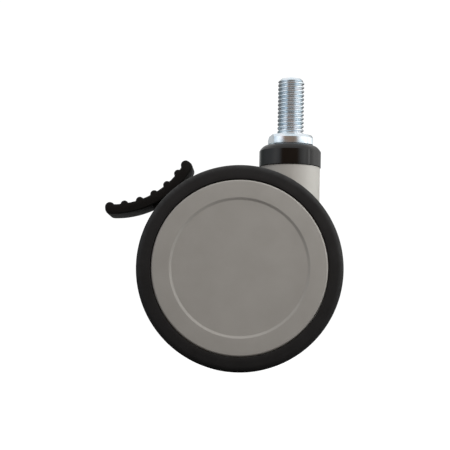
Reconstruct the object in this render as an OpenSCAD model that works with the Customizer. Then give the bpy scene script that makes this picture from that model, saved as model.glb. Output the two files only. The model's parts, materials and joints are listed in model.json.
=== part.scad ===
/* Twin-wheel swivel caster with a threaded stem and a foot brake.
   Millimetres. The origin is on the swivel axis, in the plane of the collar's seat face.
   +Z points up along the threaded stem, the wheels trail towards -X, and they spin about Y.
   The right wheel is on the -Y side and the left wheel on the +Y side. */

/* [Wheels] */
// Diameter of each wheel over the tyre
wheel_d = 75; // [70:1:84]
// Width of one wheel, from its inner face to the flat of its tyre wall
wheel_w = 13.5; // [13:0.5:16]
// Clearance between the housing and each wheel's inner face
body_gap = 1.1; // [0.8:0.1:3]
// Radial thickness of the tyre's side wall
tyre_wall = 5.35; // [4:0.05:7]
// Radius of the tyre's shoulders
tyre_shoulder_r = 1.3; // [0.6:0.1:2.5]
// Width of the wheel cover's outer band, from its edge to the middle of its step
cover_band = 7.15; // [4:0.05:12]
// Depth of the shallow dish inside that step
cover_dish = 0.7; // [0.3:0.1:1]

/* [Stem] */
// Major diameter of the metric thread
thread_d = 10; // [8:1:12]
// Pitch of the thread
thread_pitch = 1.5; // [1:0.25:1.75]
// Length of the stud above the seat face
stud_len = 22; // [16:1:40]
// Diameter of the collar under the seat face
collar_d = 19; // [18.5:0.1:21]
// Distance across the collar's two spanner flats
collar_af = 15; // [13:0.5:17]
// Height of the collar
collar_h = 3.8; // [3:0.1:6]

/* [Swivel] */
// Distance from the swivel axis back to the wheel axle
trail = 18; // [14:0.5:24]
// Distance from the seat face down to the wheel axle
axle_drop = 52; // [50:0.5:64]
// Wall of the neck around its bearings
neck_wall = 1.9; // [1.5:0.1:4]
// How far the dust cap stands proud of the neck
cap_lip = 0.3; // [0:0.1:1.5]

/* [Brake pedal] */
// Width of the pedal, across the wheels
pedal_w = 18; // [14:0.5:22]
// Radius of the pedal's hollow tread
tread_r = 30.7; // [28:0.1:36]
// Thickness of the pedal plate
pedal_t = 3.7; // [3:0.1:5]
// Number of grip ribs on the tread
rib_count = 5; // [3:1:7]
// Angle between two neighbouring ribs, seen from the centre of the tread's arc
rib_step = 10.6; // [7:0.1:13]
// Travel of the pedal from released to locked
pedal_travel = 22; // [15:1:24]

/* [Hidden] */
$fn = 96;

eps = 0.01;            // cutters run past the faces they open by this much
turn_gap = 0.3;        // clearance between pieces that turn past each other
run_gap = 0.05;        // radial clearance of a running fit

PLASTIC_GREY = [0.52, 0.51, 0.49];
TYRE_BLACK = [0.12, 0.12, 0.12];
GLOSS_BLACK = [0.06, 0.06, 0.06];
ZINC = [0.80, 0.82, 0.86];
BEARING_STEEL = [0.66, 0.67, 0.69];
NYLON = [0.86, 0.84, 0.78];

// Ball bearings: bore radius, outer radius, width, pitch radius, ball radius, number of balls
WHEEL_BEARING = [4, 11, 7, 7.5, 1.985, 7];
NECK_BEARING = [4, 9.5, 6, 6.75, 1.5, 9];
function bore_r(b) = b[0];
function outer_r(b) = b[1];
function width(b) = b[2];
function pitch_r(b) = b[3];
function ball_r(b) = b[4];
function ball_n(b) = b[5];
function inner_shoulder_r(b) = pitch_r(b) - 0.72 * ball_r(b);
function outer_shoulder_r(b) = pitch_r(b) + 0.72 * ball_r(b);
groove_ease = 0.07;    // how much larger a race's groove is than its ball

// Stem, from the seat face down
stud_r = thread_d / 2;
root_r = stud_r - 0.6134 * thread_pitch;
shank_r = bore_r(NECK_BEARING);
plain_shank = 0.8;
stud_chamfer = 1.2;
collar_chamfer = 1.2;
flat_turn = 11;        // the spanner flats stand this many degrees off square
hub_r = outer_r(NECK_BEARING) - 0.9;
circlip_t = 1;
circlip_groove = 0.3;

// Bearing stack in the neck, from the top down
cap_top = -(collar_h + turn_gap);
cap_t = 1.2;
washer_t = 1.5;
thrust_ball_r = 1.5;
thrust_pitch_r = shank_r + 3;
thrust_ball_n = 11;
thrust_gap = 2 * thrust_ball_r - 0.5;
shaft_washer_top = cap_top - cap_t - turn_gap;
thrust_ball_z = shaft_washer_top - washer_t - thrust_gap / 2;
housing_washer_top = thrust_ball_z - thrust_gap / 2;
ring_t = 1.2;
ring_top = housing_washer_top - washer_t;
neck_bore_r = outer_r(NECK_BEARING);
neck_bearing_z = -31;
ring_groove_r = neck_bore_r + 0.5;
stem_end = neck_bearing_z - 4;
stem_pocket_r = neck_bore_r - 1.7;
stem_pocket_floor = stem_end - 2;

// Dust cap and neck
neck_r = neck_bore_r + neck_wall;
cap_r = neck_r + cap_lip;
cap_wall = 1;
cap_h = 8;
cap_bottom = cap_top - cap_h;
cap_shoulder = 2.2;
spigot_r = cap_r - cap_wall;
spigot_top = cap_top - cap_t;

// Wheels, with h measured outwards from the middle of the caster
wheel_r = wheel_d / 2;
body_w = 2 * neck_r;
wheel_in = neck_r + body_gap;
wheel_out = wheel_in + wheel_w;
rim_r = wheel_r - tyre_wall;
rim_wall = 3.15;
rim_in_r = rim_r - rim_wall;
rim_key = 1.5;         // height of the ridge that keys the tyre to the rim
cover_seat = wheel_out - 1.9;
cover_face = wheel_out - 0.5;
cover_r = rim_r - 0.4;
cover_edge_r = 0.5;
cover_crown = 0.7;     // the cover's rim stands this far above its edge
cover_step_r = cover_r - cover_band;
cover_step_w = 2.6;
gear_in = 8.6;
gear_tip_r = 15;
gear_root_r = 13.4;
gear_teeth = 24;
bearing_out = cover_seat - 2.5;
bearing_in = bearing_out - width(WHEEL_BEARING);
hub_wall = 3;
core_hub_r = outer_r(WHEEL_BEARING) + hub_wall;
core_lip_r = outer_r(WHEEL_BEARING) - 1.2;
web_in = wheel_in + 2.5;
web_t = 2.5;
spoke_count = 6;
spoke_t = 2;
spoke_top = cover_seat - 1.6;
hook_count = 6;
hook_angle = 14;
hook_t = 1.1;
hook_barb = 0.5;
hook_len = 3.9;
hook_gap = 0.3;

// Axle, with its washers and circlips
axle_r = bore_r(WHEEL_BEARING);
axle_end = bearing_out + 2;
axle_washer_t = 0.5;
axle_clip_t = 0.8;
axle_groove = 0.25;
spacer_r = inner_shoulder_r(WHEEL_BEARING) - 0.15;

// Housing
web_w = 2 * (gear_in - 0.6);
body_disc_r = 26;
recess_r = gear_tip_r + 1.2;
mudguard_r = wheel_r - 5;
neck_foot = 20;        // how far the neck runs on below the axle before it is rounded off

// Brake: polar place of the pedal's pivot about the axle, and from there to the centre of the
// tread's arc
pivot_angle = 142;
pivot_r = wheel_r - 7.5;
ear_r = 6.6;
pin_r = 2.5;
pedal_hub_w = 12;
pedal_slot_w = pedal_hub_w + 0.8;
cam_r = 6.5;
cam_rise = 1.5;
pocket_r = cam_r + cam_rise + 1;
tread_from_pivot = [-25.16, 36.13];
tread_mid = -60;
tread_span = 64.8;
rib_r = 1.2;
rib_height = 1.1;
lip_r = 1.85;
lip_height = 0.9;
pedal_stem_w = 10;

// Brake slider, with r measured along the line from the axle to the pedal's pivot
slider_tooth = 1.5;
slider_tip_r = gear_tip_r + 0.7;
slider_r = slider_tip_r + slider_tooth;
slider_h = 3.5;
slider_w = 8;
slider_side = 0.3;
slider_nose_w = 4;
slider_nose_gap = 0.4;
slider_y = body_w / 2 - 0.4;
window_floor = slider_tip_r - cam_rise - 0.4;
spring_r = 2;
spring_wire_r = 0.3;
spring_turns = 5.5;
spring_seat_r = spring_r + 0.6;
spring_floor = 8.5;
spring_cup = 0.9;

// ---------- placing ----------

module at_axle() translate([-trail, 0, -axle_drop]) children();
module right_side() at_axle() rotate([90, 0, 0]) children();
module left_side() mirror([0, 1, 0]) right_side() children();

// An outline in X and Z about the axle, as a slab across Y
module slab(w) at_axle() rotate([90, 0, 0]) linear_extrude(w, center = true) children();
// The same outline turned so that its own X runs from the axle to the pedal's pivot
module to_pivot() rotate(pivot_angle) children();

module tube(r_out, r_in, z0, z1) translate([0, 0, z0]) difference() {
    cylinder(r = r_out, h = z1 - z0);
    translate([0, 0, -eps]) cylinder(r = r_in, h = z1 - z0 + 2 * eps);
}

module ring_of(count, r) for (i = [0:count - 1]) rotate([0, 0, 360 * i / count])
    translate([r, 0, 0]) children();

// Retaining ring with a gap for the pliers
module snap_ring(r_out, r_in, z0, z1, gap) difference() {
    tube(r_out, r_in, z0, z1);
    translate([r_in - 1, -gap / 2, z0 - eps]) cube([r_out, gap, z1 - z0 + 2 * eps]);
}

// ---------- ball bearings, centred on their own middle plane ----------

module race_groove(b) rotate_extrude() translate([pitch_r(b), 0])
    circle(r = ball_r(b) + groove_ease, $fn = 48);

module inner_race(b) color(BEARING_STEEL) difference() {
    tube(inner_shoulder_r(b), bore_r(b), -width(b) / 2, width(b) / 2);
    race_groove(b);
}

module outer_race(b) color(BEARING_STEEL) difference() {
    tube(outer_r(b), outer_shoulder_r(b), -width(b) / 2, width(b) / 2);
    race_groove(b);
}

module balls(b) color(ZINC) ring_of(ball_n(b), pitch_r(b)) sphere(r = ball_r(b), $fn = 32);

// Crown cage: a ring under the balls with fingers up between them
module cage(b) color(NYLON) difference() {
    tube(pitch_r(b) + 0.55 * ball_r(b), pitch_r(b) - 0.55 * ball_r(b),
         -ball_r(b) - 0.6, 0.45 * ball_r(b));
    ring_of(ball_n(b), pitch_r(b)) sphere(r = ball_r(b) + 0.1, $fn = 32);
}

module shields(b) color(BEARING_STEEL) for (z = [-1, 1])
    translate([0, 0, z * (width(b) / 2 - 0.25)])
        tube(outer_shoulder_r(b) - run_gap, inner_shoulder_r(b) + 0.15, -0.15, 0.15);

// ---------- stem ----------

function stud_profile() =
    let (first = plain_shank,
         n = floor((stud_len - plain_shank - stud_chamfer) / thread_pitch),
         crest = thread_pitch / 8, flank = (thread_pitch - thread_pitch / 8 - thread_pitch / 4) / 2)
    concat(
        [[0, -eps], [stud_r, -eps], [stud_r, first]],
        [for (i = [0:n - 1], p = [
            [root_r, first + i * thread_pitch + flank],
            [root_r, first + i * thread_pitch + flank + thread_pitch / 4],
            [stud_r, first + (i + 1) * thread_pitch - crest],
            [stud_r, first + (i + 1) * thread_pitch]]) p],
        [[stud_r, stud_len - stud_chamfer], [stud_r - stud_chamfer, stud_len], [0, stud_len]]);

module collar() difference() {
    rotate_extrude() polygon([
        [0, -collar_h], [collar_d / 2, -collar_h], [collar_d / 2, -collar_chamfer],
        [collar_d / 2 - collar_chamfer, 0], [0, 0]]);
    rotate([0, 0, flat_turn]) for (side = [-1, 1])
        translate([side * (collar_af + collar_d) / 2, 0, -collar_h / 2])
            cube([collar_d, collar_d, collar_h + 2 * eps], center = true);
}

module stem() color(ZINC) {
    rotate_extrude() polygon(stud_profile());
    collar();
    difference() {
        union() {
            translate([0, 0, shaft_washer_top]) cylinder(r = hub_r, h = -collar_h - shaft_washer_top);
            translate([0, 0, stem_end]) cylinder(r = shank_r, h = shaft_washer_top - stem_end);
        }
        tube(shank_r + 1, shank_r - circlip_groove,
             neck_bearing_z - 0.2 - circlip_t, neck_bearing_z - 0.2);
    }
}

module stem_circlip() color(BEARING_STEEL)
    snap_ring(shank_r + 2.2, shank_r - circlip_groove,
              neck_bearing_z - 0.2 - circlip_t, neck_bearing_z - 0.2, 3);

// ---------- swivel bearings ----------

module thrust_groove() translate([0, 0, thrust_ball_z]) rotate_extrude()
    translate([thrust_pitch_r, 0]) circle(r = thrust_ball_r + 0.06, $fn = 48);

module thrust_shaft_washer() color(BEARING_STEEL) difference() {
    tube(neck_bore_r - 0.5, shank_r, shaft_washer_top - washer_t, shaft_washer_top);
    thrust_groove();
}

module thrust_housing_washer() color(BEARING_STEEL) difference() {
    tube(neck_bore_r - run_gap, shank_r + turn_gap, housing_washer_top - washer_t, housing_washer_top);
    thrust_groove();
}

module thrust_balls() color(ZINC) translate([0, 0, thrust_ball_z])
    ring_of(thrust_ball_n, thrust_pitch_r) sphere(r = thrust_ball_r, $fn = 32);

module thrust_cage() color(NYLON) difference() {
    tube(thrust_pitch_r + 1.7, thrust_pitch_r - 1.6, thrust_ball_z - 0.6, thrust_ball_z + 0.6);
    translate([0, 0, thrust_ball_z]) ring_of(thrust_ball_n, thrust_pitch_r)
        cylinder(r = thrust_ball_r + 0.08, h = 4, center = true);
}

module at_neck_bearing() translate([0, 0, neck_bearing_z + width(NECK_BEARING) / 2]) children();
module neck_bearing_inner_race() at_neck_bearing() inner_race(NECK_BEARING);
module neck_bearing_outer_race() at_neck_bearing() outer_race(NECK_BEARING);
module neck_bearing_balls() at_neck_bearing() balls(NECK_BEARING);
module neck_bearing_cage() at_neck_bearing() cage(NECK_BEARING);

module neck_retaining_ring() color(BEARING_STEEL)
    snap_ring(ring_groove_r, neck_bore_r - 1.2, ring_top - ring_t, ring_top, 4);

module bearing_spacer() color(BEARING_STEEL)
    tube(neck_bore_r - run_gap, neck_bore_r - 1.3,
         neck_bearing_z + width(NECK_BEARING), ring_top - ring_t);

// ---------- neck and housing ----------

module dust_cap() color(GLOSS_BLACK) rotate_extrude() polygon([
    [spigot_r, cap_bottom], [cap_r, cap_bottom], [cap_r, cap_top - cap_shoulder],
    [cap_r - 0.35, cap_top - 0.6 * cap_shoulder], [cap_r - 1.1, cap_top - 0.2 * cap_shoulder],
    [cap_r - 1.8, cap_top], [hub_r + turn_gap, cap_top],
    [hub_r + turn_gap, spigot_top], [spigot_r, spigot_top]]);

module body_outline() {
    circle(r = body_disc_r);
    to_pivot() {
        translate([pivot_r, 0]) circle(r = ear_r);
        polygon([[pivot_r, ear_r], [pivot_r / 2, 1.8 * ear_r],
                 [pivot_r / 2, -1.8 * ear_r], [pivot_r, -ear_r]]);
    }
    // web that carries the neck
    polygon([[trail, axle_drop + neck_bearing_z], [trail - neck_r - 8, body_disc_r - 6],
             [trail - neck_r, 0], [trail, 0]]);
}

module neck_solid() {
    translate([0, 0, -axle_drop]) cylinder(r = neck_r, h = axle_drop + cap_bottom);
    translate([0, 0, cap_bottom - eps]) cylinder(r = spigot_r, h = spigot_top - cap_bottom + eps);
    intersection() {
        translate([0, 0, -axle_drop - neck_foot]) cylinder(r = neck_r, h = neck_foot + eps);
        at_axle() rotate([90, 0, 0]) cylinder(r = mudguard_r, h = body_w + 2, center = true);
    }
}

module slider_window() to_pivot() translate([window_floor, -slider_w / 2 - slider_side])
    square([pivot_r - pocket_r - window_floor + 1, slider_w + 2 * slider_side]);

module housing() color(PLASTIC_GREY) difference() {
    union() {
        slab(body_w) body_outline();
        neck_solid();
    }
    // bores for the swivel's bearings and the end of the stem
    translate([0, 0, neck_bearing_z]) cylinder(r = neck_bore_r, h = -neck_bearing_z);
    translate([0, 0, ring_top - ring_t]) cylinder(r = ring_groove_r, h = ring_t);
    translate([0, 0, stem_pocket_floor])
        cylinder(r = stem_pocket_r, h = neck_bearing_z - stem_pocket_floor + eps);
    // axle bore and the recesses for the wheels' hub gears
    at_axle() rotate([90, 0, 0]) cylinder(r = axle_r, h = body_w + 2, center = true);
    for (side = [-1, 1]) at_axle() translate([0, side * (web_w / 2 + body_w / 2), 0])
        rotate([90, 0, 0]) cylinder(r = recess_r, h = body_w, center = true);
    // window for the brake slider, pocket for the pedal's cam, and the pin's bore
    slab(body_w + 2) slider_window();
    slab(pedal_slot_w) to_pivot() translate([pivot_r, 0]) circle(r = pocket_r);
    slab(body_w + 2) to_pivot() translate([pivot_r, 0]) circle(r = pin_r);
    // seat of the brake's return spring
    at_axle() rotate([0, -pivot_angle, 0]) translate([spring_floor, 0, 0])
        rotate([0, 90, 0]) cylinder(r = spring_seat_r, h = window_floor - spring_floor + 1);
}

// ---------- axle ----------

module both_ends() {
    right_side() children();
    left_side() children();
}

module axle() color(ZINC) difference() {
    at_axle() rotate([90, 0, 0]) cylinder(r = axle_r, h = 2 * axle_end, center = true);
    both_ends() tube(axle_r + 1, axle_r - axle_groove,
                     bearing_out + axle_washer_t + 0.1,
                     bearing_out + axle_washer_t + 0.1 + axle_clip_t);
}

module axle_washers() color(BEARING_STEEL) both_ends()
    tube(spacer_r, axle_r + run_gap, bearing_out, bearing_out + axle_washer_t);

module axle_circlips() color(BEARING_STEEL) both_ends()
    snap_ring(axle_r + 1.7, axle_r - axle_groove, bearing_out + axle_washer_t + 0.1,
              bearing_out + axle_washer_t + 0.1 + axle_clip_t, 2.4);

module wheel_spacers() color(BEARING_STEEL) both_ends()
    tube(spacer_r, axle_r + run_gap, web_w / 2, bearing_in);

// ---------- wheels, about their own axis with h along Z ----------

module tyre() color(TYRE_BLACK) rotate_extrude() difference() {
    union() {
        translate([rim_r, wheel_in]) square([tyre_wall - tyre_shoulder_r, wheel_w]);
        translate([rim_r, wheel_in + tyre_shoulder_r])
            square([tyre_wall, wheel_w - 2 * tyre_shoulder_r]);
        for (h = [wheel_in + tyre_shoulder_r, wheel_out - tyre_shoulder_r])
            translate([wheel_r - tyre_shoulder_r, h]) circle(r = tyre_shoulder_r, $fn = 48);
    }
    rim_key_outline();
}

module rim_key_outline() polygon([
    [rim_r - 1, wheel_in + 3.6], [rim_r, wheel_in + 3.6], [rim_r + rim_key, wheel_in + 4.6],
    [rim_r + rim_key, wheel_in + 7.6], [rim_r, wheel_in + 8.6], [rim_r - 1, wheel_in + 8.6]]);

// Ring gear on the hub that the brake slider drops into; one tooth points at the pivot
module hub_gear() {
    pitch = 360 / gear_teeth;
    linear_extrude(wheel_in + 2 - gear_in) {
        circle(r = gear_root_r);
        rotate(pivot_angle) for (i = [0:gear_teeth - 1]) rotate(i * pitch) polygon([
            [gear_root_r - 0.5, -1.15], [gear_root_r, -1.05], [gear_tip_r, -0.65],
            [gear_tip_r, 0.65], [gear_root_r, 1.05], [gear_root_r - 0.5, 1.15]]);
    }
}

module wheel_core() color(PLASTIC_GREY) difference() {
    union() {
        rotate_extrude() {
            translate([rim_in_r, wheel_in]) square([rim_wall, cover_seat - wheel_in]);
            rim_key_outline();
            translate([0, web_in]) square([rim_in_r + eps, web_t]);
            translate([0, wheel_in]) square([core_hub_r, bearing_out + 0.8 - wheel_in]);
        }
        translate([0, 0, gear_in]) hub_gear();
        // spokes, rooted halfway into the web
        ring_of(spoke_count, 0) translate([core_hub_r - 0.5, -spoke_t / 2, web_in + web_t / 2])
            cube([rim_in_r - core_hub_r + 1, spoke_t, spoke_top - web_in - web_t / 2]);
    }
    translate([0, 0, bearing_in]) cylinder(r = outer_r(WHEEL_BEARING), h = wheel_w);
    translate([0, 0, gear_in - 1]) cylinder(r = core_lip_r, h = wheel_w);
    // snap groove for the cover's hooks
    tube(rim_in_r + hook_barb + 0.1, rim_in_r - hook_t - hook_gap - 0.4,
         cover_seat - hook_len - 0.2, cover_seat - hook_len + 1.4);
}

module cover_hook() {
    r0 = rim_in_r - hook_gap - hook_t;
    rotate([0, 0, -hook_angle / 2]) rotate_extrude(angle = hook_angle) polygon([
        [r0, cover_seat + 0.5], [r0 + hook_t, cover_seat + 0.5],
        [r0 + hook_t, cover_seat - hook_len + 1.1],
        [rim_in_r + hook_barb - 0.2, cover_seat - hook_len + 1.1], [r0 + hook_t, cover_seat - hook_len],
        [r0, cover_seat - hook_len]]);
}

module wheel_cover() color(PLASTIC_GREY) {
    step_in = cover_step_r - cover_step_w / 2;
    step_out = cover_step_r + cover_step_w / 2;
    crown = cover_face + cover_crown;
    rotate_extrude() polygon([
        [0, cover_seat], [cover_r, cover_seat], [cover_r, cover_face - cover_edge_r],
        [cover_r - cover_edge_r, cover_face], [(cover_r + step_out) / 2, crown - 0.12],
        [step_out, crown], [step_in, crown - cover_dish], [0, crown - cover_dish]]);
    rotate([0, 0, 180 / hook_count]) for (i = [0:hook_count - 1])
        rotate([0, 0, 360 * i / hook_count]) cover_hook();
}

module at_wheel_bearing() translate([0, 0, (bearing_in + bearing_out) / 2]) children();

module right_wheel_core() right_side() wheel_core();
module right_tyre() right_side() tyre();
module right_wheel_cover() right_side() wheel_cover();
module right_bearing_inner_race() right_side() at_wheel_bearing() inner_race(WHEEL_BEARING);
module right_bearing_outer_race() right_side() at_wheel_bearing() outer_race(WHEEL_BEARING);
module right_bearing_shields() right_side() at_wheel_bearing() shields(WHEEL_BEARING);
module right_bearing_balls() right_side() at_wheel_bearing() balls(WHEEL_BEARING);
module right_bearing_cage() right_side() at_wheel_bearing() cage(WHEEL_BEARING);

module left_wheel_core() left_side() wheel_core();
module left_tyre() left_side() tyre();
module left_wheel_cover() left_side() wheel_cover();
module left_bearing_inner_race() left_side() at_wheel_bearing() inner_race(WHEEL_BEARING);
module left_bearing_outer_race() left_side() at_wheel_bearing() outer_race(WHEEL_BEARING);
module left_bearing_shields() left_side() at_wheel_bearing() shields(WHEEL_BEARING);
module left_bearing_balls() left_side() at_wheel_bearing() balls(WHEEL_BEARING);
module left_bearing_cage() left_side() at_wheel_bearing() cage(WHEEL_BEARING);

// ---------- brake ----------

function polar(r, a) = [r * cos(a), r * sin(a)];
pivot = polar(pivot_r, pivot_angle);
tread_c = pivot + tread_from_pivot;

// A wedge that keeps the part of the tread's ring between the pedal's two ends
module tread_wedge() {
    reach = tread_r + 20;
    polygon(concat([[0, 0]], [for (i = [0:4])
        polar(reach, tread_mid - tread_span / 2 + i * tread_span / 4)]));
}

module pedal_plate_outline() translate(tread_c) {
    intersection() {
        difference() {
            circle(r = tread_r + pedal_t);
            circle(r = tread_r);
        }
        tread_wedge();
    }
    half_ribs = (rib_count - 1) / 2;
    for (i = [-half_ribs:half_ribs]) rotate(tread_mid + i * rib_step)
        translate([tread_r + rib_r - rib_height, 0]) circle(r = rib_r, $fn = 32);
    for (side = [-1, 1]) rotate(tread_mid + side * tread_span / 2) {
        translate([tread_r + lip_r - lip_height, -side * lip_r * 0.5]) circle(r = lip_r, $fn = 48);
    }
}

// The cam's radius grows by cam_rise over the pedal's travel, on the side facing the axle
module cam_outline() {
    steps = 12;
    face = pivot_angle - 180;
    polygon([
        for (i = [0:steps]) polar(cam_r + cam_rise * i / steps, face - pedal_travel * i / steps),
        for (i = [1:4]) polar(cam_r + cam_rise, face - pedal_travel - 4 * i),
        polar(cam_r * 0.9, face - pedal_travel - 50),
        [0, 0]]);
    circle(r = cam_r - eps);
}

module brake_pedal() color(GLOSS_BLACK) difference() {
    to_tread = tread_c - pivot;
    reach = norm(to_tread) - tread_r - pedal_t / 2;
    union() {
        slab(pedal_w) pedal_plate_outline();
        slab(pedal_hub_w) translate(pivot) {
            cam_outline();
            rotate(atan2(to_tread[1], to_tread[0])) translate([0, -pedal_stem_w / 2])
                square([reach, pedal_stem_w]);
        }
    }
    slab(pedal_w + 2) translate(pivot) circle(r = pin_r + run_gap);
}

module pedal_pin() color(ZINC) slab(body_w - 0.4) translate(pivot) circle(r = pin_r);

// Seen along Y, with X from the axle to the pivot: a toothed bar with a nose under the cam
module slider_outline() {
    nose_top = pivot_r - cam_r - slider_nose_gap;
    translate([slider_r, -slider_w / 2]) square([slider_h, slider_w]);
    translate([slider_r, -slider_nose_w / 2])
        square([nose_top - 1 - slider_r, slider_nose_w]);
    translate([nose_top - 1, 0]) circle(r = 1, $fn = 32);
}

// Two teeth that drop into the gaps on either side of the gear tooth under the slider
module slider_teeth() for (side = [-1, 1])
    translate([0, side * slider_tip_r * sin(180 / gear_teeth)]) polygon([
        [slider_r + 0.5, -0.95], [slider_r, -0.95], [slider_tip_r, -0.4],
        [slider_tip_r, 0.4], [slider_r, 0.95], [slider_r + 0.5, 0.95]]);

module brake_slider() color(NYLON) difference() {
    union() {
        slab(2 * slider_y) to_pivot() translate([slider_r, -slider_w / 2])
            square([slider_h, slider_w]);
        slab(pedal_hub_w - 4) to_pivot() slider_outline();
        for (side = [-1, 1]) translate([0, side * (gear_in + slider_y) / 2, 0])
            slab(slider_y - gear_in) to_pivot() slider_teeth();
    }
    at_axle() rotate([0, -pivot_angle, 0]) translate([slider_r - 1, 0, 0])
        rotate([0, 90, 0]) cylinder(r = spring_seat_r, h = 1 + spring_cup);
}

// Round wire swept along a helix about Z
module coil(r, wire_r, h, turns, around = 8, per_turn = 16) {
    n = ceil(turns * per_turn);
    slope = atan(h / turns / (2 * PI * r));
    points = [for (i = [0:n], j = [0:around - 1])
        let (a = 360 * i / per_turn, b = 360 * j / around,
             out = r + wire_r * cos(b), side = wire_r * sin(b))
        [out * cos(a) + side * sin(a) * sin(slope), out * sin(a) - side * cos(a) * sin(slope),
         h * i / n + side * cos(slope)]];
    sides = [for (i = [0:n - 1], j = [0:around - 1])
        let (k = (j + 1) % around)
        [i * around + j, i * around + k, (i + 1) * around + k, (i + 1) * around + j]];
    polyhedron(points, concat(
        [[for (j = [around - 1:-1:0]) j]], sides, [[for (j = [0:around - 1]) n * around + j]]));
}

module brake_spring() color(ZINC) at_axle() rotate([0, 90 - pivot_angle, 0])
    translate([0, 0, spring_floor + spring_wire_r + 0.05])
        coil(spring_r, spring_wire_r,
             slider_r + spring_cup - spring_floor - 2 * spring_wire_r - 0.1, spring_turns);

stem();
stem_circlip();
thrust_shaft_washer();
thrust_housing_washer();
thrust_balls();
thrust_cage();
neck_bearing_inner_race();
neck_bearing_outer_race();
neck_bearing_balls();
neck_bearing_cage();
neck_retaining_ring();
bearing_spacer();
dust_cap();
housing();
axle();
axle_circlips();
axle_washers();
wheel_spacers();
right_wheel_core();
right_tyre();
right_wheel_cover();
right_bearing_inner_race();
right_bearing_outer_race();
right_bearing_shields();
right_bearing_balls();
right_bearing_cage();
left_wheel_core();
left_tyre();
left_wheel_cover();
left_bearing_inner_race();
left_bearing_outer_race();
left_bearing_shields();
left_bearing_balls();
left_bearing_cage();
brake_pedal();
pedal_pin();
brake_slider();
brake_spring();
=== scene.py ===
"""Twin-wheel swivel caster with a threaded stem and a foot brake: the looks.

Metres, in the frame of the CAD model: the origin is on the swivel axis in the plane of the
collar's seat face, +Z runs up the stud, the wheels spin about Y and the right one is at -Y.
Lengths below are written in millimetres and scaled once, where a mesh is made.
"""
import json
import math

import bmesh
import bpy
from mathutils import Matrix, Vector

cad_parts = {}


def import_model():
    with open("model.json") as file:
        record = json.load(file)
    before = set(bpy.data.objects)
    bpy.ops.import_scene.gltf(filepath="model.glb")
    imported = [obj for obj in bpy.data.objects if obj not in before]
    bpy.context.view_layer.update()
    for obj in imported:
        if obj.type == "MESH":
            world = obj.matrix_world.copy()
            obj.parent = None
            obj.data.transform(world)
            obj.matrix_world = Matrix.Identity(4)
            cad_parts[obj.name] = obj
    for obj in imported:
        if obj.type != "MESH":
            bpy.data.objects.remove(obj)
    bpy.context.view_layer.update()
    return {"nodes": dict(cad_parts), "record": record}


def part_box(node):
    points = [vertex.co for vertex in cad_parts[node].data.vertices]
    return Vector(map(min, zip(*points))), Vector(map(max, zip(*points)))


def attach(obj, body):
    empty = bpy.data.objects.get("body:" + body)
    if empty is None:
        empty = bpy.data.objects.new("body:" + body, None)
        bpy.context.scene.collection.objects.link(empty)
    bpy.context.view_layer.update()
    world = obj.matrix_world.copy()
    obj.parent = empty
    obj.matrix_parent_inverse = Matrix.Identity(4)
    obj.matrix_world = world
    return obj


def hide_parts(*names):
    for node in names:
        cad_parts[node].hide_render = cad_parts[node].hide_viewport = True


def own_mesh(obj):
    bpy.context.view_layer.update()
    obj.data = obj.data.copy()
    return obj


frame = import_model()

MM = 0.001


# ---------- sizes, from the CAD nodes ----------

def span(node):
    """Lowest and highest corner of a CAD node, in millimetres."""
    low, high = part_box(node)
    return low / MM, high / MM


TYRE_LOW, TYRE_HIGH = span("right_tyre")
AXLE_X = (TYRE_LOW.x + TYRE_HIGH.x) / 2
AXLE_Z = (TYRE_LOW.z + TYRE_HIGH.z) / 2
WHEEL_R = (TYRE_HIGH.x - TYRE_LOW.x) / 2
TYRE_IN, TYRE_OUT = -TYRE_HIGH.y, -TYRE_LOW.y
COVER_LOW, COVER_HIGH = span("right_wheel_cover")
COVER_R = (COVER_HIGH.x - COVER_LOW.x) / 2
COVER_TOP = -COVER_LOW.y
CAP_LOW, CAP_HIGH = span("dust_cap")
STEM_LOW, STEM_HIGH = span("stem")
PIN_LOW, PIN_HIGH = span("pedal_pin")
PIVOT = Vector(((PIN_LOW.x + PIN_HIGH.x) / 2, (PIN_LOW.z + PIN_HIGH.z) / 2))
PEDAL_LOW, PEDAL_HIGH = span("brake_pedal")


# ---------- meshes ----------

def finish_mesh(name, bm, sharp=38, smooth=True):
    """Turns a bmesh in millimetres into an object in metres with smooth shading up to an angle."""
    bmesh.ops.remove_doubles(bm, verts=bm.verts, dist=1e-5)
    bmesh.ops.recalc_face_normals(bm, faces=bm.faces)
    bmesh.ops.scale(bm, vec=(MM, MM, MM), verts=bm.verts)
    mesh = bpy.data.meshes.new(name)
    bm.to_mesh(mesh)
    bm.free()
    obj = bpy.data.objects.new(name, mesh)
    bpy.context.scene.collection.objects.link(obj)
    shade(obj, sharp)
    return obj


def shade(obj, sharp=38):
    obj.data.shade_smooth()
    obj.data.set_sharp_from_angle(angle=math.radians(sharp))


def rounded(corners, steps=5):
    """A closed outline of (x, y, radius) corners, each rounded by its radius."""
    out = []
    count = len(corners)
    for i, (x, y, radius) in enumerate(corners):
        point = Vector((x, y))
        if radius <= 0:
            out.append(point)
            continue
        before = (Vector(corners[i - 1][:2]) - point).normalized()
        after = (Vector(corners[(i + 1) % count][:2]) - point).normalized()
        half = before.angle(after) / 2
        centre = point + (before + after).normalized() * radius / math.sin(half)
        first = point + before * radius / math.tan(half) - centre
        last = point + after * radius / math.tan(half) - centre
        turn = math.atan2(first.cross(last), first.dot(last))
        for k in range(steps + 1):
            out.append(centre + Matrix.Rotation(turn * k / steps, 2) @ first)
    return out


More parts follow.
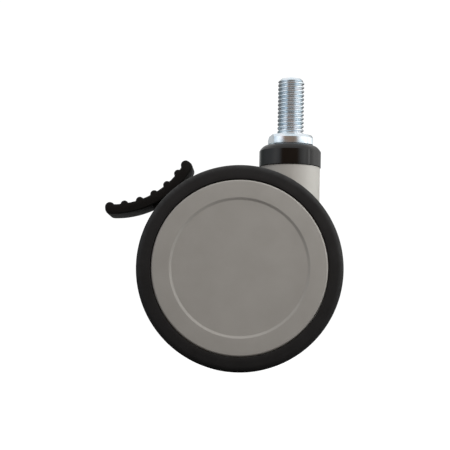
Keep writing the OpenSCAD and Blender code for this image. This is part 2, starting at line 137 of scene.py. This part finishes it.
def lathe(name, outline, place, steps=224, sweep=None, sharp=38):
    """Turns a closed (radius, height) outline about Z, then moves it by place. With sweep, only
    that many degrees, centred on X and closed at both ends."""
    bm = bmesh.new()
    full = sweep is None
    count = steps if full else steps + 1
    rings = []
    for i in range(count):
        turn = 2 * math.pi * i / steps if full else math.radians(sweep * (i / steps - 0.5))
        rings.append([bm.verts.new((p.x * math.cos(turn), p.x * math.sin(turn), p.y))
                      for p in outline])
    for i in range(steps):
        here, there = rings[i], rings[(i + 1) % count]
        for j in range(len(outline)):
            k = (j + 1) % len(outline)
            if outline[j].x < 1e-6 and outline[k].x < 1e-6:
                continue
            bm.faces.new((here[j], here[k], there[k], there[j]))
    if not full:
        bm.faces.new(rings[0])
        bm.faces.new(rings[-1])
    bmesh.ops.transform(bm, matrix=place, verts=bm.verts)
    bmesh.ops.remove_doubles(bm, verts=bm.verts, dist=1e-5)
    bmesh.ops.dissolve_degenerate(bm, edges=bm.edges, dist=1e-6)
    return finish_mesh(name, bm, sharp)


def outward(outline):
    """Unit normals pointing out of a closed counterclockwise outline, at its points."""
    out = []
    count = len(outline)
    for i in range(count):
        a = (outline[i] - outline[i - 1]).normalized()
        b = (outline[(i + 1) % count] - outline[i]).normalized()
        side = a + b
        side = Vector((side.y, -side.x)).normalized()
        out.append(side / max(0.6, side.dot(Vector((a.y, -a.x)))))
    return out


def prism(name, outline, half, edge, steps=4, sharp=38):
    """An outline in (x, z) as a slab from -half to half across Y, its two rims rounded by edge."""
    if sum(outline[i - 1].cross(outline[i]) for i in range(len(outline))) < 0:
        outline = outline[::-1]
    normals = outward(outline)
    bm = bmesh.new()
    levels = []
    for side in (-1, 1):
        ring = [(side * (half - edge * (1 - math.sin(math.pi / 2 * k / steps))),
                 edge * (1 - math.cos(math.pi / 2 * k / steps))) for k in range(steps + 1)]
        levels += ring[::-1] if side < 0 else ring
    loops = [[bm.verts.new((p.x - n.x * inset, y, p.y - n.y * inset))
              for p, n in zip(outline, normals)] for y, inset in levels]
    for low, high in zip(loops, loops[1:]):
        for i in range(len(outline)):
            k = (i + 1) % len(outline)
            bm.faces.new((low[i], low[k], high[k], high[i]))
    bm.faces.new(loops[0])
    bm.faces.new(loops[-1])
    return finish_mesh(name, bm, sharp)


def combine(base, tools, operation, sharp=38):
    """Applies a boolean of each tool to base, and removes the tools."""
    for tool in tools:
        change = base.modifiers.new(operation, "BOOLEAN")
        change.operation = operation
        change.solver = "EXACT"
        change.object = tool
    apply_modifiers(base)
    for tool in tools:
        bpy.data.objects.remove(tool)
    shade(base, sharp)
    return base


def apply_modifiers(obj):
    graph = bpy.context.evaluated_depsgraph_get()
    mesh = bpy.data.meshes.new_from_object(obj.evaluated_get(graph))
    obj.modifiers.clear()
    obj.data = mesh
    mesh.name = obj.name


def bevel(obj, width, steps=2, angle=32):
    change = obj.modifiers.new("edges", "BEVEL")
    change.width = width * MM
    change.segments = steps
    change.limit_method = "ANGLE"
    change.angle_limit = math.radians(angle)
    change.use_clamp_overlap = True
    change.harden_normals = False


def box_at(name, low, high, turn=0):
    """A box between two corners, turned about Z."""
    bm = bmesh.new()
    bmesh.ops.create_cube(bm, size=1)
    size = Vector(high) - Vector(low)
    middle = (Vector(high) + Vector(low)) / 2
    bmesh.ops.transform(bm, verts=bm.verts, matrix=Matrix.Rotation(math.radians(turn), 4, "Z")
                        @ Matrix.Translation(middle) @ Matrix.Diagonal((*size, 1)))
    return finish_mesh(name, bm)


# ---------- materials ----------

def linear(red, green, blue):
    """Scene-linear colour from 0 to 255 display values."""
    def one(value):
        value /= 255
        return value / 12.92 if value <= 0.04045 else ((value + 0.055) / 1.055) ** 2.4
    return one(red), one(green), one(blue), 1


class Finish:
    """A material on a Principled shader, with helpers that add what varies over the surface."""

    def __init__(self, name, metallic=0, **fixed):
        self.material = bpy.data.materials.new(name)
        self.material.use_nodes = True
        self.tree = self.material.node_tree
        self.shader = self.tree.nodes["Principled BSDF"]
        self.shader.inputs["Metallic"].default_value = metallic
        for socket, value in fixed.items():
            self.shader.inputs[socket.replace("_", " ")].default_value = value
        self.place = self.tree.nodes.new("ShaderNodeTexCoord")
        self.normal = None

    def stretched(self, scale):
        """The piece's own coordinates, stretched by a factor along each axis."""
        node = self.tree.nodes.new("ShaderNodeMapping")
        node.inputs["Scale"].default_value = scale
        self.tree.links.new(self.place.outputs["Object"], node.inputs["Vector"])
        return node.outputs["Vector"]

    def noise(self, size, detail=3, stretch=(1, 1, 1)):
        """Noise whose features are about size millimetres across."""
        node = self.tree.nodes.new("ShaderNodeTexNoise")
        node.inputs["Scale"].default_value = 1 / (size * MM)
        node.inputs["Detail"].default_value = detail
        self.tree.links.new(self.stretched(stretch), node.inputs["Vector"])
        return node.outputs["Fac"]

    def ramp(self, source, stops):
        """Maps 0 to 1 onto colours or greys at the given stops."""
        node = self.tree.nodes.new("ShaderNodeValToRGB")
        ramp = node.color_ramp
        while len(ramp.elements) < len(stops):
            ramp.elements.new(0.5)
        for element, (at, colour) in zip(ramp.elements, stops):
            element.position = at
            element.color = colour if isinstance(colour, tuple) else (colour,) * 3 + (1,)
        self.tree.links.new(source, node.inputs["Fac"])
        return node.outputs["Color"]

    def colour(self, source, stops):
        self.tree.links.new(self.ramp(source, stops), self.shader.inputs["Base Color"])

    def roughness(self, source, low, high):
        self.tree.links.new(self.ramp(source, [(0.3, low), (0.7, high)]),
                            self.shader.inputs["Roughness"])

    def bump(self, source, depth, strength=1.0):
        """Adds relief of about depth millimetres, on top of what is there."""
        node = self.tree.nodes.new("ShaderNodeBump")
        node.inputs["Distance"].default_value = depth * MM
        node.inputs["Strength"].default_value = strength
        self.tree.links.new(source, node.inputs["Height"])
        if self.normal:
            self.tree.links.new(self.normal, node.inputs["Normal"])
        self.normal = node.outputs["Normal"]
        self.tree.links.new(self.normal, self.shader.inputs["Normal"])


def grey_plastic():
    """Moulded grey plastic: a satin skin with fine grain and a faint flow mottling."""
    f = Finish("grey_plastic", IOR=1.5)
    f.colour(f.noise(9, 4), [(0.3, linear(138, 135, 130)), (0.7, linear(143, 140, 135))])
    f.roughness(f.noise(2.5, 3), 0.44, 0.56)
    f.bump(f.noise(0.35, 2), 0.012, 0.5)
    f.bump(f.noise(14, 1), 0.05, 0.25)
    return f.material


def tyre_black():
    """Cast polyurethane: dull black, with dust-fine pits and a soft bloom."""
    f = Finish("tyre_black", IOR=1.5, Specular_IOR_Level=0.3)
    f.colour(f.noise(6, 5), [(0.3, linear(17, 16, 16)), (0.75, linear(24, 23, 23))])
    f.roughness(f.noise(1.6, 4), 0.5, 0.68)
    f.bump(f.noise(0.5, 3), 0.02, 0.5)
    return f.material


def moulded_black(name, low, high, level):
    """Black moulded plastic, with shallow waves from the mould."""
    f = Finish(name, IOR=1.5, Specular_IOR_Level=level)
    f.colour(f.noise(5, 3), [(0.3, linear(6, 5, 5)), (0.7, linear(10, 9, 8))])
    f.roughness(f.noise(2, 4), low, high)
    f.bump(f.noise(0.4, 2), 0.008, 0.4)
    f.bump(f.noise(5, 1), 0.03, 0.3)
    return f.material


def zinc_steel():
    """Bright zinc plate with a blue passivation: cloudy tint and fine turning marks."""
    f = Finish("zinc_steel", metallic=1)
    f.colour(f.noise(3.2, 4), [(0.25, linear(190, 207, 219)), (0.5, linear(214, 224, 231)),
                               (0.75, linear(224, 224, 228))])
    f.roughness(f.noise(1.1, 4), 0.18, 0.28)
    f.bump(f.noise(0.4, 2, (0.2, 0.2, 1)), 0.002, 0.3)
    return f.material


def bearing_steel():
    f = Finish("bearing_steel", metallic=1)
    f.colour(f.noise(2, 3), [(0.3, linear(168, 170, 174)), (0.7, linear(186, 187, 190))])
    f.roughness(f.noise(0.8, 3), 0.2, 0.34)
    f.bump(f.noise(0.3, 2), 0.004, 0.4)
    return f.material


def spring_steel():
    f = Finish("spring_steel", metallic=1)
    f.colour(f.noise(1.5, 3), [(0.3, linear(120, 121, 124)), (0.7, linear(150, 150, 152))])
    f.roughness(f.noise(0.6, 3), 0.28, 0.42)
    return f.material


def nylon():
    f = Finish("nylon", IOR=1.53, Subsurface_Weight=0.15)
    f.shader.inputs["Subsurface Scale"].default_value = 0.5 * MM
    f.colour(f.noise(3, 3), [(0.3, linear(216, 211, 196)), (0.7, linear(226, 222, 209))])
    f.roughness(f.noise(1.2, 3), 0.38, 0.5)
    f.bump(f.noise(0.4, 2), 0.01, 0.4)
    return f.material


FINISHES = {
    "grey_plastic": grey_plastic(),
    "tyre_black": tyre_black(),
    "pedal_black": moulded_black("pedal_black", 0.42, 0.55, 0.25),
    "cap_black": moulded_black("cap_black", 0.11, 0.17, 0.35),
    "zinc_steel": zinc_steel(),
    "bearing_steel": bearing_steel(),
    "spring_steel": spring_steel(),
    "nylon": nylon(),
}


def settle(piece, body, slot, *nodes):
    """Gives a new piece the finish of its slot, parents it to its body and hides the CAD nodes that it stands for.
    """
    piece.data.materials.clear()
    piece.data.materials.append(FINISHES[slot])
    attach(piece, body)
    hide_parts(*nodes)


# ---------- stem: M10 thread, collar with two spanner flats, shank ----------

STUD_R = 5.0
PITCH = 1.5
ROOT_DEPTH = 0.43 * PITCH
# How deep the thread is across one pitch, as shares of the pitch and of the full depth
THREAD_SHAPE = [(0, 1), (0.05, 0.97), (0.1, 0.86), (0.15, 0.68), (0.2, 0.5), (0.27, 0.25),
                (0.33, 0.08), (0.36, 0.025), (0.4, 0.003), (0.5, 0), (0.6, 0.003), (0.64, 0.025),
                (0.67, 0.08), (0.73, 0.25), (0.8, 0.5), (0.85, 0.68), (0.9, 0.86), (0.95, 0.97)]
STUD_TOP = STEM_HIGH.z
RUN_OUT = 1.6


def thread(low, high, around=96):
    """A right-hand thread as one closed mesh. Its rows follow the helix, and the first column
    runs on one pitch further, where the last column joins it."""
    bm = bmesh.new()
    per_turn = len(THREAD_SHAPE)
    rows = int((high - low) / PITCH) * per_turn

    def vertex(column, row):
        part, depth = THREAD_SHAPE[row % per_turn]
        z = low + PITCH * (row // per_turn + part + column / around)
        fade = min(1, max(0, (z - 0.3) / RUN_OUT))
        radius = STUD_R - ROOT_DEPTH * depth * fade * fade * (3 - 2 * fade)
        turn = 2 * math.pi * column / around
        return bm.verts.new((radius * math.cos(turn), radius * math.sin(turn), z))

    grid = [[vertex(i, j) for j in range(rows + 1 + (per_turn if i == 0 else 0))]
            for i in range(around)]
    for i in range(around - 1):
        for j in range(rows):
            bm.faces.new((grid[i][j], grid[i + 1][j], grid[i + 1][j + 1], grid[i][j + 1]))
    first, last = grid[0], grid[-1]
    for j in range(rows):
        k = j + per_turn
        bm.faces.new((last[j], first[k], first[k + 1], last[j + 1]))
    bottom = [column[0] for column in grid] + first[per_turn:0:-1]
    top = [column[rows] for column in grid] + first[rows + per_turn:rows:-1]
    for rim, z in ((bottom, low - PITCH), (top, high + 2 * PITCH)):
        centre = bm.verts.new((0, 0, z))
        for i in range(len(rim)):
            bm.faces.new((rim[i - 1], rim[i], centre))
    return finish_mesh("thread", bm)


def build_stem():
    origin = Matrix.Identity(4)
    envelope = lathe("envelope", rounded([
        (0, -3.4, 0), (STUD_R + 0.01, -3.4, 0), (STUD_R + 0.01, STUD_TOP - 1.2, 0.3),
        (STUD_R - 1.25, STUD_TOP, 0.25), (0, STUD_TOP, 0)]), origin, 192)
    stud = combine(thread(-3.0, STUD_TOP + PITCH), [envelope], "INTERSECT")
    collar = lathe("collar", rounded([
        (0, -3.8, 0), (9.5, -3.8, 0.15), (9.5, -1.25, 0.4), (8.3, 0, 0.35), (0, 0, 0)]),
        origin, 192)
    collar = combine(collar, [
        box_at("flat", (7.5, -20, -9), (20, 20, 9), 11),
        box_at("flat", (-20, -20, -9), (-7.5, 20, 9), 11)], "DIFFERENCE")
    bevel(collar, 0.14, 3, 30)
    apply_modifiers(collar)
    shank = lathe("shank", rounded([
        (0, -1.5, 0), (4.0, -1.5, 0), (8.6, -3.4, 0), (8.6, -5.6, 0.2), (4, -5.6, 0),
        (4, -31.2, 0), (3.7, -31.2, 0), (3.7, -32.2, 0), (4, -32.2, 0), (4, -35, 0.5),
        (0, -35, 0)]), origin, 128)
    stem = combine(collar, [stud, shank], "UNION")
    stem.name = "threaded_stem"
    settle(stem, "stem", "zinc_steel", "stem")


build_stem()


# ---------- dust cap ----------

def build_cap():
    outer, hole = (CAP_HIGH.x - CAP_LOW.x) / 2, 8.9
    top, bottom = CAP_HIGH.z, CAP_LOW.z
    spigot = outer - 1
    cap = lathe("swivel_dust_cap", rounded([
        (spigot, bottom, 0.1), (outer, bottom, 0.2), (outer, top - 2.0, 0.35),
        (outer - 0.6, top - 1.1, 0.5), (outer - 1.3, top - 0.35, 0.6), (outer - 1.9, top, 0.4),
        (hole, top, 0.2), (hole, top - 1.2, 0.1), (spigot, top - 1.2, 0.1)], 6),
        Matrix.Identity(4), 224)
    settle(cap, "swivel", "cap_black", "dust_cap")


build_cap()


# ---------- wheels, built about Z with height measured outwards ----------

def side_place(side):
    """Moves a wheel part from its own axis to the right (-1) or the left (1) side."""
    return (Matrix.Translation((AXLE_X, 0, AXLE_Z))
            @ Matrix.Rotation(math.radians(-90 * side), 4, "X"))


RIM_R = 32.15
COVER_SEAT = COVER_TOP - 2.1
HOOK_R = 27.6


def build_tyre(side, word):
    key_low = TYRE_IN + 3.6
    shoulder = 1.3
    profile = rounded([
        (RIM_R, TYRE_IN, 0.25), (WHEEL_R, TYRE_IN, shoulder), (WHEEL_R, TYRE_OUT - 0.45, 2.4),
        (RIM_R + 1.2, TYRE_OUT, 6), (RIM_R, TYRE_OUT, 0.3), (RIM_R, key_low + 5, 0), (RIM_R + 1.5, key_low + 4, 0),
        (RIM_R + 1.5, key_low + 1, 0), (RIM_R, key_low, 0)], 8)
    tyre = lathe(f"{word}_tyre_tread", profile, side_place(side), 288)
    settle(tyre, f"{word}_wheel", "tyre_black", f"{word}_tyre")


def build_cover(side, word):
    recess = COVER_TOP - 0.45
    profile = rounded([
        (0, COVER_SEAT, 0), (COVER_R, COVER_SEAT, 0.15), (COVER_R, COVER_TOP - 0.3, 0.2),
        (COVER_R - 0.4, COVER_TOP, 0.3), (25.4, COVER_TOP, 0.6),
        (24.5, recess, 0.6), (0, recess, 0)], 8)
    cover = lathe(f"{word}_cover_disc", profile, side_place(side), 256)
    hooks = []
    for i in range(6):
        place = side_place(side) @ Matrix.Rotation(math.radians(30 + 60 * i), 4, "Z")
        low = COVER_SEAT - 3.9
        hooks.append(lathe("hook", [Vector(p) for p in (
            (HOOK_R, COVER_SEAT + 0.5), (HOOK_R + 1.1, COVER_SEAT + 0.5),
            (HOOK_R + 1.1, low + 1.1), (29.3, low + 1.1), (HOOK_R + 1.1, low), (HOOK_R, low))],
            place, 8, 14))
    cover = combine(cover, hooks, "UNION")
    settle(cover, f"{word}_wheel", "grey_plastic", f"{word}_wheel_cover")


for side, word in ((-1, "right"), (1, "left")):
    build_tyre(side, word)
    build_cover(side, word)


# ---------- brake pedal ----------

TREAD_C = Vector((AXLE_X - 48.8, AXLE_Z + 54.6))
TREAD_R, PLATE_T = 30.7, 3.7
TREAD_MID, TREAD_SPAN = -60, 64.8
RIB_R, RIB_COUNT, RIB_STEP, RIB_CENTRE = 1.5, 5, 10.9, 31.1
RIB_MID = TREAD_MID + 1.2
LIP_R = 1.85


def tread_outline():
    """The pedal plate seen from the side: a ribbed hollow tread with a round lip at each end."""
    start = math.radians(TREAD_MID - TREAD_SPAN / 2)
    end = math.radians(TREAD_MID + TREAD_SPAN / 2)
    ribs = [math.radians(RIB_MID + RIB_STEP * (i - (RIB_COUNT - 1) / 2))
            for i in range(RIB_COUNT)]
    lip_centre = TREAD_R + LIP_R - 0.9
    lip_in = 0.5 * LIP_R

    def at(radius, angle, across=0):
        out = Vector((math.cos(angle), math.sin(angle)))
        return TREAD_C + out * radius + Vector((-out.y, out.x)) * across

    def inner(angle):
        radius = TREAD_R
        for rib in ribs:
            off = RIB_CENTRE * math.sin(angle - rib)
            if abs(off) < RIB_R:
                radius = min(radius, RIB_CENTRE * math.cos(angle - rib)
                             - math.sqrt(RIB_R * RIB_R - off * off))
        return radius

    def lip(side, angle):
        """The lip's end, from its crest round to the end of the plate."""
        return [at(lip_centre - LIP_R * math.cos(math.radians(a)), angle,
                   side * (LIP_R * math.sin(math.radians(a)) - lip_in))
                for a in range(-60, 101, 10)]

    steps = 420
    reach = lip_in + LIP_R * 0.9
    inside = [at(inner(a), a) for a in
              (start + (end - start) * i / steps for i in range(steps + 1))
              if start + reach / TREAD_R < a < end - reach / TREAD_R]
    outer_r = TREAD_R + PLATE_T
    outside = [at(outer_r, end + (start - end) * i / 60) for i in range(1, 60)]
    points = (inside + lip(1, end) + [at(outer_r - 0.7, end + 0.022), at(outer_r, end + 0.012)]
              + outside + [at(outer_r, start - 0.012), at(outer_r - 0.7, start - 0.022)]
              + lip(-1, start)[::-1])
    for _ in range(3):
        points = [(points[i - 1] + 2 * p + points[(i + 1) % len(points)]) / 4
                  for i, p in enumerate(points)]
    return points


def build_pedal():
    half = PEDAL_HIGH.y
    plate = prism("tread", tread_outline(), half, 0.55, 4)
    cam, rise, travel, face = 6.5, 1.5, 22, -38
    hub = [Vector((math.cos(math.radians(a)), math.sin(math.radians(a)))) * r for a, r in
           [(face - travel * i / 12, cam + rise * i / 12) for i in range(13)]
           + [(face - travel - 4 * i, cam + rise) for i in range(1, 5)]
           + [(face - travel - 30, cam + 0.7), (face - travel - 50, cam + 0.15)]
           + [(face - travel - a, cam) for a in range(60, 331, 10)]]
    to_tread = TREAD_C - PIVOT
    reach = to_tread.length - TREAD_R - PLATE_T / 2
    along = to_tread.normalized()
    across = Vector((-along.y, along.x)) * 5
    hub_piece = prism("hub", [PIVOT + p for p in hub], 6, 0.4, 3)
    arm = prism("arm", [PIVOT + across, PIVOT + across + along * reach,
                        PIVOT - across + along * reach, PIVOT - across], 5.96, 0.5, 3)
    pedal = combine(plate, [arm, hub_piece], "UNION")
    bore = lathe("bore", [Vector(p) for p in ((0, -12), (2.55, -12), (2.55, 12), (0, 12))],
                 Matrix.Translation((PIVOT.x, 0, PIVOT.y)) @ Matrix.Rotation(math.pi / 2, 4, "X"), 64)
    combine(pedal, [bore], "DIFFERENCE")
    pedal.name = "brake_rocker_pedal"
    settle(pedal, "pedal", "pedal_black", "brake_pedal")


build_pedal()


# ---------- CAD nodes that stay: their finishes, and broken edges on the mouldings ----------

def body_of(node):
    return next(name for name, members in frame["record"]["behaviour"]["bodies"].items()
                if node in members)


def soften(node, name, width):
    """A copy of a CAD moulding with its flat faces merged and its edges broken."""
    bm = bmesh.new()
    bm.from_mesh(frame["nodes"][node].data)
    bmesh.ops.scale(bm, vec=(1 / MM,) * 3, verts=bm.verts)
    bmesh.ops.remove_doubles(bm, verts=bm.verts, dist=1e-4)
    bmesh.ops.dissolve_limit(bm, angle_limit=math.radians(0.5), verts=bm.verts, edges=bm.edges)
    piece = finish_mesh(name, bm, 30)
    bevel(piece, width, 2, 34)
    apply_modifiers(piece)
    shade(piece, 34)
    settle(piece, body_of(node), "grey_plastic", node)
    return piece


soften("housing", "swivel_housing", 0.35)
for word in ("right", "left"):
    soften(f"{word}_wheel_core", f"{word}_hub_core", 0.2)


def build_spring():
    """The brake's return spring: a copy of the CAD coil, with a mesh of its own."""
    bm = bmesh.new()
    bm.from_mesh(frame["nodes"]["brake_spring"].data)
    bmesh.ops.scale(bm, vec=(1 / MM,) * 3, verts=bm.verts)
    spring = finish_mesh("brake_return_spring", bm, 50)
    settle(spring, "swivel", "spring_steel", "brake_spring")
    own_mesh(spring)


build_spring()

SLOT_OF = {part["node"]: part["material_slot"] for part in frame["record"]["subparts"]}
for name, node in frame["nodes"].items():
    if node.hide_render:
        continue
    for slot in node.material_slots:
        slot.material = FINISHES[SLOT_OF[name]]
    shade(node, 34)


# ---------- floor, light and camera ----------

# What surrounds the object: radiance by bearing in degrees, 0 towards the camera, 90 to the right
STUDIO = [(-180, (0.36, 0.37, 0.37)), (-166, (0.60, 0.61, 0.61)), (-150, (0.66, 0.67, 0.67)),
          (-140, (0.26, 0.28, 0.28)), (-122, (0.26, 0.29, 0.29)), (-100, (0.62, 0.66, 0.69)),
          (-75, (0.95, 1.01, 1.07)), (-56, (1.50, 1.53, 1.56)), (-43, (1.10, 1.15, 1.22)),
          (-30, (0.30, 0.205, 0.15)), (26, (0.30, 0.205, 0.15)), (38, (1.00, 1.01, 1.02)),
          (56, (1.80, 1.82, 1.82)), (69, (1.30, 1.30, 1.29)), (74, (3.40, 3.40, 3.38)),
          (79, (1.30, 1.30, 1.28)), (100, (1.80, 1.80, 1.77)), (122, (1.00, 1.00, 0.98)),
          (150, (0.40, 0.40, 0.40)), (180, (0.36, 0.37, 0.37))]
CEILING = (1.1, 1.1, 1.1)
PEAK = 3.5


def floor():
    bm = bmesh.new()
    bmesh.ops.create_grid(bm, x_segments=1, y_segments=1, size=4000)
    bmesh.ops.translate(bm, verts=bm.verts, vec=(0, 0, TYRE_LOW.z - 0.02))
    obj = finish_mesh("floor", bm)
    material = bpy.data.materials.new("floor")
    material.use_nodes = True
    tree = material.node_tree
    shader = tree.nodes["Principled BSDF"]
    shader.inputs["Base Color"].default_value = (0.15, 0.15, 0.15, 1)
    shader.inputs["Roughness"].default_value = 1
    shader.inputs["Specular IOR Level"].default_value = 0
    shader.inputs["Emission Color"].default_value = (1, 1, 1, 1)
    path = tree.nodes.new("ShaderNodeLightPath")
    glow = tree.nodes.new("ShaderNodeMath")
    glow.operation = "MULTIPLY"
    glow.inputs[1].default_value = 1.0
    tree.links.new(path.outputs["Is Camera Ray"], glow.inputs[0])
    tree.links.new(glow.outputs[0], shader.inputs["Emission Strength"])
    obj.data.materials.append(material)


def world():
    """White where the camera looks past the object. What the object itself sees is a studio that
    is dim around the camera and bright elsewhere, most of all to the right."""
    scene_world = bpy.data.worlds.new("studio")
    bpy.context.scene.world = scene_world
    scene_world.use_nodes = True
    tree = scene_world.node_tree
    tree.nodes.clear()
    add, link = tree.nodes.new, tree.links.new

    def maths(kind, first, second):
        node = add("ShaderNodeMath")
        node.operation = kind
        for socket, value in zip(node.inputs, (first, second)):
            if isinstance(value, (int, float)):
                socket.default_value = value
            else:
                link(value, socket)
        return node.outputs[0]

    direction = add("ShaderNodeTexCoord")
    split = add("ShaderNodeSeparateXYZ")
    link(direction.outputs["Generated"], split.inputs[0])
    east, north, up = (split.outputs[axis] for axis in "XYZ")
    # -180 to 180 degrees round the object, 0 towards the camera and 90 to the right
    bearing = maths("ARCTAN2", east, maths("MULTIPLY", north, -1))
    share = maths("MULTIPLY_ADD", bearing, 1 / (2 * math.pi))
    share.node.inputs[2].default_value = 0.5
    round_about = add("ShaderNodeValToRGB")
    elements = round_about.color_ramp.elements
    while len(elements) < len(STUDIO):
        elements.new(0.5)
    for element, (degrees, colour) in zip(elements, STUDIO):
        element.position = 0.5 + degrees / 360
        element.color = (*[c / PEAK for c in colour], 1)
    link(share, round_about.inputs["Fac"])
    above = add("ShaderNodeMapRange")
    above.interpolation_type = "SMOOTHSTEP"
    above.inputs["From Min"].default_value, above.inputs["From Max"].default_value = 0.4, 0.75
    link(up, above.inputs["Value"])
    both = add("ShaderNodeMix")
    both.data_type = "RGBA"
    both.inputs["B"].default_value = (*[c / PEAK for c in CEILING], 1)
    link(above.outputs["Result"], both.inputs["Factor"])
    link(round_about.outputs["Color"], both.inputs["A"])
    seen, lit, mix = (add("ShaderNodeBackground"), add("ShaderNodeBackground"),
                      add("ShaderNodeMixShader"))
    seen.inputs["Color"].default_value = (1, 1, 1, 1)
    seen.inputs["Strength"].default_value = 1.05
    lit.inputs["Strength"].default_value = PEAK
    link(both.outputs["Result"], lit.inputs["Color"])
    path = add("ShaderNodeLightPath")
    link(path.outputs["Is Camera Ray"], mix.inputs["Fac"])
    link(lit.outputs[0], mix.inputs[1])
    link(seen.outputs[0], mix.inputs[2])
    link(mix.outputs[0], add("ShaderNodeOutputWorld").inputs["Surface"])


def area(name, at, to, size, power, colour=(1, 1, 1)):
    light = bpy.data.lights.new(name, "AREA")
    light.shape = "RECTANGLE"
    light.size, light.size_y = size
    light.energy = power
    light.color = colour
    obj = bpy.data.objects.new(name, light)
    bpy.context.scene.collection.objects.link(obj)
    obj.location = at
    obj.rotation_mode = "QUATERNION"
    obj.rotation_quaternion = (Vector(to) - Vector(at)).to_track_quat("-Z", "Y")
    obj.visible_camera = obj.visible_glossy = False


def camera():
    yaw, pitch, roll = (math.radians(a) for a in (-1.54, 5.23, 1.19))
    forward = Vector((math.sin(yaw) * math.cos(pitch), math.cos(yaw) * math.cos(pitch),
                      math.sin(pitch)))
    right = Vector((math.cos(yaw), -math.sin(yaw), 0))
    up = right.cross(forward)
    turned_right = right * math.cos(roll) + up * math.sin(roll)
    turned_up = up * math.cos(roll) - right * math.sin(roll)
    data = bpy.data.cameras.new("camera")
    data.sensor_width = 36
    data.lens = 109.66
    data.clip_start, data.clip_end = 0.01, 50
    obj = bpy.data.objects.new("camera", data)
    bpy.context.scene.collection.objects.link(obj)
    turn = Matrix((turned_right, turned_up, -forward)).transposed().to_4x4()
    obj.matrix_world = Matrix.Translation(Vector((-10.3, -517.1, -81.7)) * MM) @ turn
    bpy.context.scene.camera = obj


floor()
world()
area("key", (0.10, -0.17, 0.14), (-0.015, 0, -0.045), (0.1, 0.1), 0.42)
area("strip", (0.58, 0.0, 0.08), (0, 0, -0.03), (0.25, 0.5), 3.3, (0.95, 1.0, 1.0))
camera()

view_settings = bpy.context.scene.view_settings
view_settings.view_transform = "Standard"
view_settings.look = "None"
